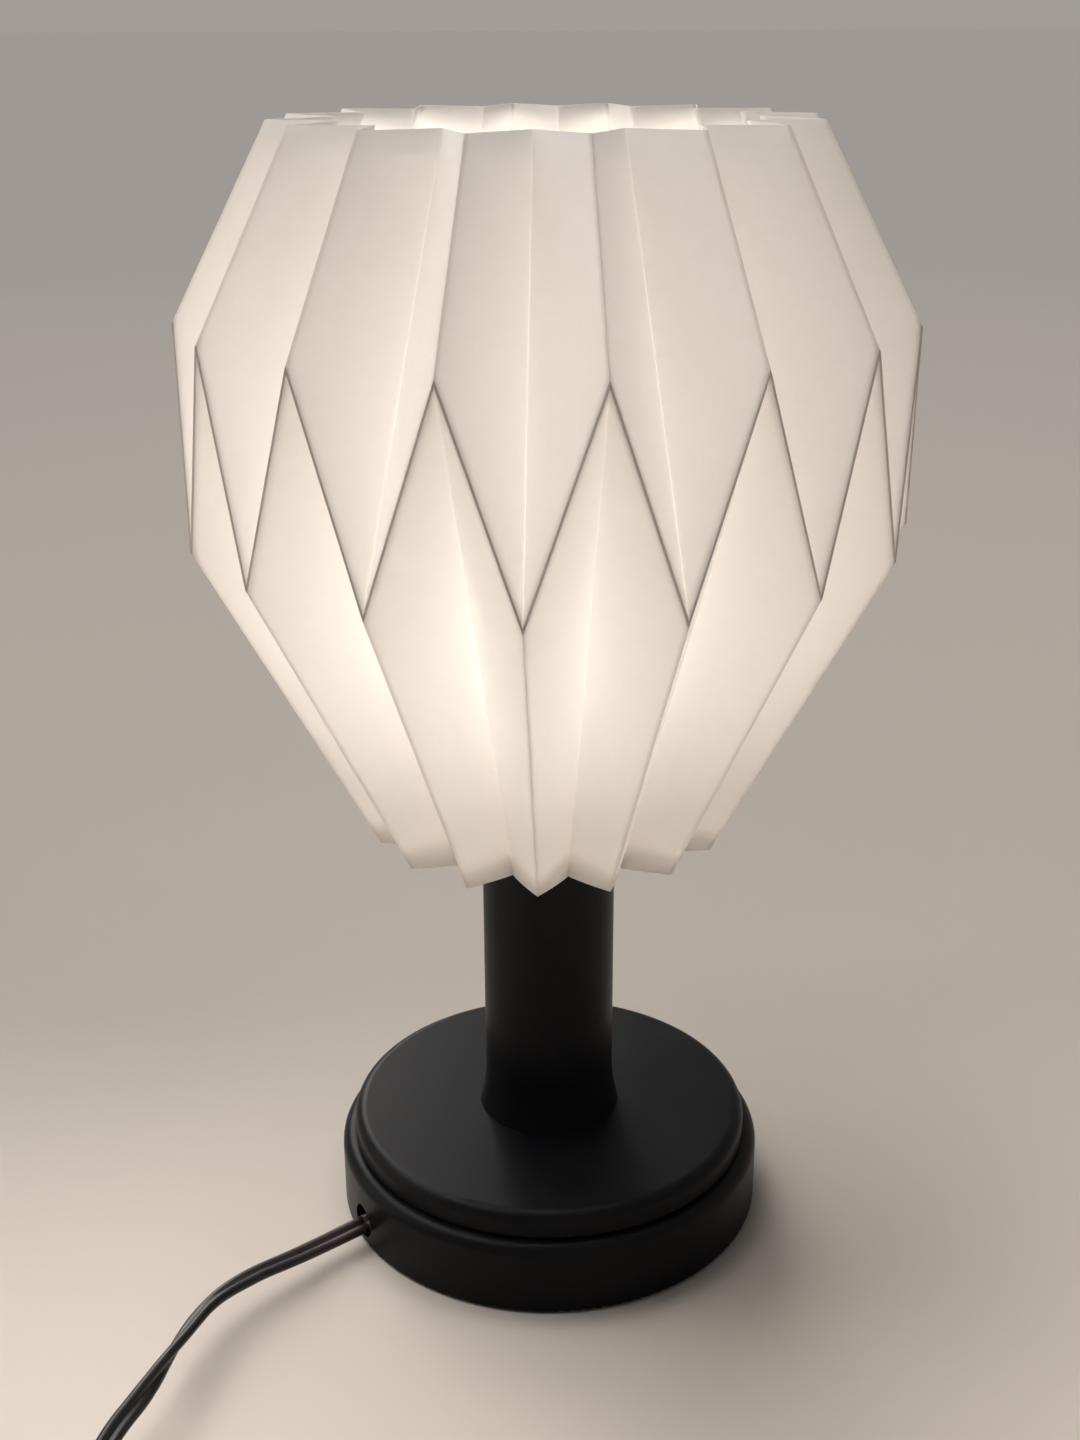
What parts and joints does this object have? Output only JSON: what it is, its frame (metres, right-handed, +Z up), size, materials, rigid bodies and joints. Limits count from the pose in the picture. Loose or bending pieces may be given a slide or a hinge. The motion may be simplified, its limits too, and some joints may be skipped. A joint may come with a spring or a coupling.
{
  "type": "pleated paper table lamp",
  "caption": "Table lamp with a pleated paper shade folded round its belly, open at top and bottom, on a turned black column with a round stepped base, a bulb and a corded plug.",
  "frame": {"origin": "centre of the lamp's underside, on the table", "axes": "+Z up along the column, -Y towards the camera, +X to the picture's right"},
  "size_m": [0.2177, 0.3756, 0.3144],
  "materials": {
    "felt": "black felt",
    "black_lacquer": "turned, satin black paint",
    "iron": "as cast",
    "zinc_steel": "zinc plated",
    "black_steel": "matte black paint",
    "brass": "satin",
    "card_liner": "pressed board",
    "moulded_black": "moulded",
    "thread_metal": "rolled thread",
    "black_glaze": "dark insulating glass",
    "white_plastic": "satin",
    "board_white": "white solder mask",
    "opal": "diffusing opal",
    "shade_paper": "folded stiff paper, matte",
    "ring_board": "pressed board",
    "cord_jacket": "smooth, slightly glossy",
    "tie_black": "smooth"
  },
  "bodies": {
    "lamp": {"base_pad": "felt", "base_foot": "black_lacquer", "base_disc": "black_lacquer", "base_weight": "iron", "base_screws": "zinc_steel", "stem": "black_lacquer", "lamp_pipe": "zinc_steel", "pipe_washer": "zinc_steel", "pipe_nut": "zinc_steel", "shade_carrier": "black_steel", "holder_cap": "brass", "holder_shell": "brass", "holder_sleeve": "card_liner", "holder_core": "moulded_black", "terminal_screws": "brass", "thread_shell": "thread_metal", "holder_contact": "brass", "inner_cord": "cord_jacket", "cord_lead": "cord_jacket", "cord_link": "cord_jacket", "cord_coil": "cord_jacket", "cord_tail": "cord_jacket", "cord_tie": "tie_black", "switch_base": "moulded_black", "switch_cover": "moulded_black", "switch_screws": "zinc_steel", "switch_contacts": "brass", "plug_body": "moulded_black", "plug_blade_narrow": "brass", "plug_blade_wide": "brass"},
    "shade": {"shade": "shade_paper", "shade_ring": "ring_board"},
    "bulb": {"bulb_tip": "zinc_steel", "bulb_glaze": "black_glaze", "bulb_cap": "thread_metal", "bulb_collar": "white_plastic", "led_board": "board_white", "bulb_dome": "opal"},
    "switch_wheel": {"switch_wheel": "moulded_black"}
  },
  "joints": [
    {"name": "shade_lift", "type": "slide", "parent": "lamp", "child": "shade", "axis": [0, 0, 1], "range_m": [0, 0.2]},
    {"name": "bulb_lift", "type": "slide", "parent": "lamp", "child": "bulb", "axis": [0, 0, 1], "range_m": [0, 0.2]},
    {"name": "wheel_turn", "type": "hinge", "parent": "lamp", "child": "switch_wheel", "pos_m": [-0.1105, -0.181, 0.006], "axis": [0, 0, 1], "continuous": true}
  ]
}
